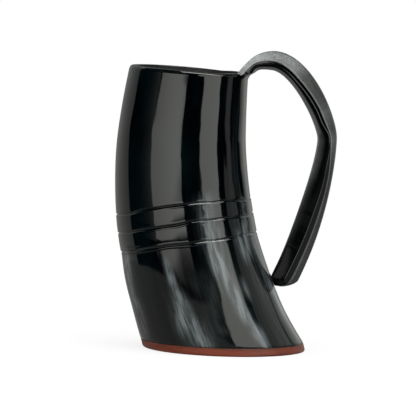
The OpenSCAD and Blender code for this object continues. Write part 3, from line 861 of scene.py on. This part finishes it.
def woodMaterial():
    # light and dark growth rings along the grain, with short dark pores in them
    m = woodLook
    material, tree, out = newMaterial("oiled_wood")
    rings = grained(tree, m["along"], m["turn"], m["rings"])
    pits = remap(tree, grained(tree, m["poresAlong"], m["poresTurn"], m["pores"]), *m["poreCut"])
    colour = mixColour(tree, remap(tree, rings, *m["ringCut"]), m["dark"], m["light"])
    addShader(tree, out, "BsdfPrincipled", {
        "Base Color": mixColour(tree, calc(tree, "MULTIPLY", pits, m["poreReach"]), colour, m["pore"]),
        "Roughness": remap(tree, rings, *m["glossCut"], *m["gloss"]),
        "Normal": relief(tree, calc(tree, "SUBTRACT", rings, pits), *m["relief"])})
    return material


glueLooks = dict(
    clear_glue=dict(light=(0.05, 0.035, 0.022, 1), dark=(0.02, 0.014, 0.01, 1), gloss=(0.25, 0.37)),
    dark_resin=dict(light=(0.014, 0.012, 0.01, 1), dark=(0.006, 0.006, 0.006, 1), gloss=(0.12, 0.24)),
)
glueCloud = dict(scale=140.0, cut=(0.3, 0.7))


def glueMaterial(name):
    # soft clouds of a lighter and a darker tone
    m = glueLooks[name]
    material, tree, out = newMaterial(name)
    cloud = noise(tree, addNode(tree, "TexCoord").outputs["Object"], glueCloud["scale"])
    addShader(tree, out, "BsdfPrincipled", {
        "Base Color": mixColour(tree, cloud, m["dark"], m["light"]),
        "Roughness": remap(tree, cloud, *glueCloud["cut"], *m["gloss"])})
    return material


# Camera: a little to the handle's side, a little above, and turned a little about its own line of sight
view = dict(
    target=(-0.01182, -0.00012, 0.08187), azimuth=3.0, roll=1.8, away=2.16, eyeH=0.2456,
    pixel=0.000584, frame=416, sensor=36, near=0.05, far=50,
)


def besideCamera(turn, away):
    # place on the ground plane at that turn from the camera's direction, as seen from the cup
    angle = np.radians(view["azimuth"] + turn)
    return np.sin(angle) * away, -np.cos(angle) * away


def addCamera():
    # the lens is chosen so that one point of the picture covers view's pixel at the target
    v = view
    target = np.array(v["target"])
    x, y = besideCamera(0, v["away"])
    place = np.array([target[0] + x, target[1] + y, v["eyeH"]])
    look = target - place
    data = bpy.data.cameras.new("view")
    data.sensor_width = v["sensor"]
    data.lens = v["sensor"] * np.linalg.norm(look) / (v["pixel"] * v["frame"])
    data.clip_start, data.clip_end = v["near"], v["far"]
    camera = bpy.data.objects.new("view", data)
    straight = Vector(look).to_track_quat("-Z", "Y").to_matrix().to_4x4()
    camera.matrix_world = (Matrix.Translation(place) @ straight
                           @ Matrix.Rotation(math.radians(v["roll"]), 4, "Z"))
    scene.collection.objects.link(camera)
    scene.camera = camera


# Studio: white surround, pale table, two softboxes in front, one lamp overhead, and what the polished
# horn shows of them. Each box is a lamp that lights, and a glowing sheet that only reflections meet.
white = (1, 1, 1, 1)
studio = dict(
    surround=0.35, boxColour=(0.975, 1, 0.94, 1), aim=(0, 0, 0.09),
    tableR=0.42, tableGlow=0.8, tableColour=(0.3, 0.3, 0.3, 1), tableSides=128,
    cardGlow=0.3, cardUnder=0.0002, cardAt=(-180, -95, -66, -44, -34, 0, 180),
    cardReach=(0.3, 0.285, 0.302, 0.38, 0.385, 0.4, 0.3),
    topSheet=dict(high=1.25, left=-0.1, right=0.95, near=-0.42, far=0.1, glow=9.0),
    sheetRows=80, sheetColumns=48, sheetSpread=1.6, leastSoft=0.001,
    clothAway=2.6, clothLow=-1.6, clothHigh=2.7, clothTurns=(-125, 150), clothSides=60, clothOver=1.02,
    clothColour=(0.003, 0.003, 0.003, 1),
    lamps=(
        dict(name="left_box", turn=-26, away=1.3, middle=0.5, wide=0.9, high=1.0, radiance=1.5),
        dict(name="right_box", turn=47, away=1.3, middle=0.5, wide=0.6, high=1.0, radiance=1.5),
        dict(name="top_box", turn=0, away=0.05, middle=1.3, wide=1.0, high=1.0, radiance=2.0),
    ),
)

# Sheets on upright cylinders round the cup: heights in metres with the turn of the left and right edge at
# each, the glow from left to right, the lower edge with its turns where it isn't level, and the height over
# which the glow fades in above it. The front card has an upper edge with turns of its own.
sheets = (
    dict(name="left_sheet", away=1.15, heights=(-0.1, 0.17, 0.24, 0.262, 0.276, 0.6),
         left=(-52.5, -52.5, -54.8, -51, -48, -50), right=(-1.6,) * 6,
         lowAt=(-52, -44.5, -36.7, -29, -22, -16.8, -10.8, -4.8, -1.6),
         low=(-0.056, -0.059, -0.03, -0.002, 0.026, 0.056, 0.085, 0.115, 0.13),
         soft=(0.003, 0.004, 0.01, 0.03, 0.07, 0.11, 0.12, 0.12, 0.12), glow=(1.65, 1.9, 2.2, 2.4, 2.6)),
    dict(name="right_sheet", away=1.2, heights=(-0.1, 0.145, 0.217, 0.262, 0.3, 0.33, 0.346, 0.353, 0.95),
         left=(27.4, 27.4, 29.9, 32.5, 28.5, 28.5, 26, 20, 20),
         right=(64, 62, 61, 62, 62.5, 63, 63, 63, 72), glow=(2.2, 2.4)),
    dict(name="left_wing", away=1.3, heights=(-0.1, 0.9), left=(-82, -82), right=(-52, -52),
         glow=(0, 0.02, 0.1, 0.3)),
    dict(name="faint_strip", away=1.25, heights=(-0.1, 0.1, 0.2, 0.9), left=(79, 79, 84, 82),
         right=(92, 92, 96.5, 95), glow=(0.3, 0.45, 0.45, 0.3)),
    dict(name="right_wedge", away=1.3, heights=(0.22, 0.9), left=(76, 76), right=(126, 126),
         glow=(0.35, 0.5, 0.5, 0.35)),
    dict(name="left_surround", away=1.4, heights=(-1.6, 0.0, 0.1, 0.13, 0.22, 0.26, 0.3, 1.2),
         left=(-180,) * 8, right=(-100, -100, -103, -101, -103.4, -105.7, -103.6, -103),
         glow=(0.15, 0.3, 0.45, 0.47, 0.4)),
    dict(name="right_surround", away=1.4, heights=(-1.6, 0.08, 0.14, 0.15, 1.2),
         left=(118, 120, 122, 128, 130), right=(180,) * 5, glow=(0.3, 0.65, 0.8, 0.55, 0.25, 0.15)),
    dict(name="front_card", away=0.4, heights=(-0.01, 0.13), left=(-36, -36), right=(22, 22),
         high=(0.0, 0.0145, 0.03, 0.0506, 0.0711, 0.0941, 0.1092, 0.123),
         highAt=(-36, -24, -18.8, -8.2, 1, 9.6, 16, 22), glow=(0.35, 0.35)),
)


def addLamp(name, turn, away, middle, wide, high, radiance):
    # a rectangle of this size and radiance, aimed at the cup's middle
    data = bpy.data.lights.new(name, "AREA")
    data.shape = "RECTANGLE"
    data.size, data.size_y = wide, high
    data.energy = radiance * wide * high * math.pi
    lamp = bpy.data.objects.new(name, data)
    x, y = besideCamera(turn, away)
    lamp.location = (x, y, middle)
    lamp.rotation_euler = (Vector(studio["aim"]) - lamp.location).to_track_quat("-Z", "Y").to_euler()
    lamp.visible_glossy = False
    scene.collection.objects.link(lamp)


def whiteToRays(tree):
    # 1 for camera, reflected and transmitted rays, 0 for the light that falls on things
    rays = addNode(tree, "LightPath").outputs
    seen = calc(tree, "MAXIMUM", rays["Is Camera Ray"], rays["Is Glossy Ray"])
    return calc(tree, "MAXIMUM", seen, rays["Is Transmission Ray"])


def stagePiece(name, points, faces, material, glow=None):
    # a piece of the studio, in metres, that isn't part of the cup
    mesh = bpy.data.meshes.new(name)
    mesh.from_pydata(points.tolist(), [], faces)
    if glow is not None:
        mesh.attributes.new("glow", "FLOAT", "POINT").data.foreach_set("value", glow.astype(np.float32))
    mesh.materials.append(material)
    thing = bpy.data.objects.new(name, mesh)
    scene.collection.objects.link(thing)
    return thing


def onlyReflected(thing):
    # hidden from all rays but the reflected ones
    for ray in ("camera", "diffuse", "shadow", "transmission", "volume_scatter"):
        setattr(thing, "visible_" + ray, False)


def gridFaces(rows, columns):
    # squares between neighbouring rows and columns of an open grid
    return [[r * columns + c, r * columns + c + 1, (r + 1) * columns + c + 1, (r + 1) * columns + c]
            for r in range(rows - 1) for c in range(columns - 1)]


def addSheet(sheet, material):
    # rows go up from the lower edge to the upper one, columns from the left edge to the right one
    rows, columns = studio["sheetRows"], studio["sheetColumns"]
    across = np.linspace(0, 1, columns)[None, :]
    up = (np.linspace(0, 1, rows) ** studio["sheetSpread"])[:, None]
    heights, ends = sheet["heights"], (sheet["left"][0], sheet["right"][0])
    low = sheet.get("low", heights[:1] * 2)
    turns, lowAt = mix(*ends, across), sheet.get("lowAt", ends)
    soft = np.interp(turns, lowAt, sheet.get("soft", (studio["leastSoft"],) * len(low)))
    low = np.interp(turns, lowAt, low)
    top = heights[-1] + 0 * across
    if "high" in sheet:
        top = np.interp(turns, sheet["highAt"], sheet["high"])
    z = mix(low, top, up)
    turn = mix(np.interp(z, heights, sheet["left"]), np.interp(z, heights, sheet["right"]), across)
    x, y = besideCamera(turn, sheet["away"])
    glow = np.interp(across, np.linspace(0, 1, len(sheet["glow"])), sheet["glow"])
    glow = glow * ease(0, 1, (z - low) / soft)
    points = np.stack([x, y, z], -1).reshape(-1, 3)
    onlyReflected(stagePiece(sheet["name"], points, gridFaces(rows, columns), material, glow.ravel()))


def glowMaterial():
    # shines with the strength of the glow attribute
    material, tree, out = newMaterial("box_glow")
    addShader(tree, out, "Emission", {"Color": studio["boxColour"], "Strength": mark(tree, "glow")})
    return material


def addTable():
    # the cup stands on a pale round table that reflections don't meet: they meet the darker card instead
    s = studio
    angle = fullTurn(s["tableSides"])[0]
    points = np.stack([np.sin(angle), -np.cos(angle), 0 * angle], 1) * s["tableR"]
    material, tree, out = newMaterial("pale_table")
    cloth = addNode(tree, "BsdfDiffuse", {"Color": s["tableColour"]})
    lift = calc(tree, "MULTIPLY", whiteToRays(tree), s["tableGlow"])
    glow = addNode(tree, "Emission", {"Color": white, "Strength": lift})
    addShader(tree, out, "AddShader", {0: cloth.outputs[0], 1: glow.outputs[0]})
    stagePiece("table", points, [list(range(s["tableSides"]))], material).visible_glossy = False


def addTableCard(material):
    # a flat card just under the table's top, with its own reach at each turn
    s, count = studio, studio["tableSides"]
    turns = np.linspace(-180, 180, count, endpoint=False)
    x, y = besideCamera(turns, np.interp(turns, s["cardAt"], s["cardReach"]))
    points = np.stack([x, y, 0 * x - s["cardUnder"]], 1)
    glow = np.full(count, s["cardGlow"])
    onlyReflected(stagePiece("table_card", points, [list(range(count))], material, glow))


def addTopSheet(material):
    # a level rectangle over the cup
    t = studio["topSheet"]
    points = np.array([(t[x], t[y], t["high"]) for x, y in (
        ("left", "near"), ("right", "near"), ("right", "far"), ("left", "far"))])
    onlyReflected(stagePiece("top_sheet", points, [[0, 1, 2, 3]], material, np.full(4, t["glow"])))


def addCloth():
    # black cloth round the front of the studio and over it, behind the sheets: only reflections meet it
    s, count = studio, studio["clothSides"]
    x, y = besideCamera(np.linspace(*s["clothTurns"], count), s["clothAway"])
    sides = [np.stack([x, y, np.full(count, z)], 1) for z in (s["clothLow"], s["clothHigh"])]
    over = np.linspace(0, 360, count, endpoint=False)
    x, y = besideCamera(over, s["clothAway"] * s["clothOver"])
    ceiling = np.stack([x, y, np.full(count, s["clothHigh"])], 1)
    faces = gridFaces(2, count) + [[k + 2 * count for k in range(count)]]
    material, tree, out = newMaterial("black_cloth")
    addShader(tree, out, "BsdfPrincipled", {
        "Base Color": s["clothColour"], "Roughness": 1, "Specular IOR Level": 0})
    onlyReflected(stagePiece("black_cloth", np.vstack([*sides, ceiling]), faces, material))


def addStudio():
    # the surround looks white, but lights things only with its own strength
    s = studio
    world = bpy.data.worlds.new("surround")
    scene.world = world
    tree, out = emptyTree(world, "OutputWorld")
    strength = calc(tree, "ADD", calc(tree, "MULTIPLY", whiteToRays(tree), 1 - s["surround"]), s["surround"])
    addShader(tree, out, "Background", {"Color": white, "Strength": strength})
    for lamp in s["lamps"]:
        addLamp(**lamp)
    boxGlow = glowMaterial()
    for sheet in sheets:
        addSheet(sheet, boxGlow)
    addTable()
    addTableCard(boxGlow)
    addTopSheet(boxGlow)
    addCloth()
    print("studio ready")


scene.view_settings.view_transform = "Standard"
addCamera()
addStudio()

fibres, scratches = fibreGroup(), scratchGroup()
blackHorn = hornMaterial(fibres)
stripHorn = handleMaterial(scratches)
clearGlue, darkResin = glueMaterial("clear_glue"), glueMaterial("dark_resin")

addPiece("horn_body", hornCup(), blackHorn, "horn", "horn_cup")
addPiece("handle_strip", handleMesh(), stripHorn, "handle_horn", "handle")
addPiece("foot_disc", baseMesh(), woodMaterial(), "base_wood", "wooden_base")
addPiece("glue_bed", glueMesh(), clearGlue, "glue", "base_glue")
addPiece("resin_floor", sealMesh(), darkResin, "seal_resin", "inner_seal")
addPiece("glue_pad", padMesh(), clearGlue, "glue", "tip_glue")
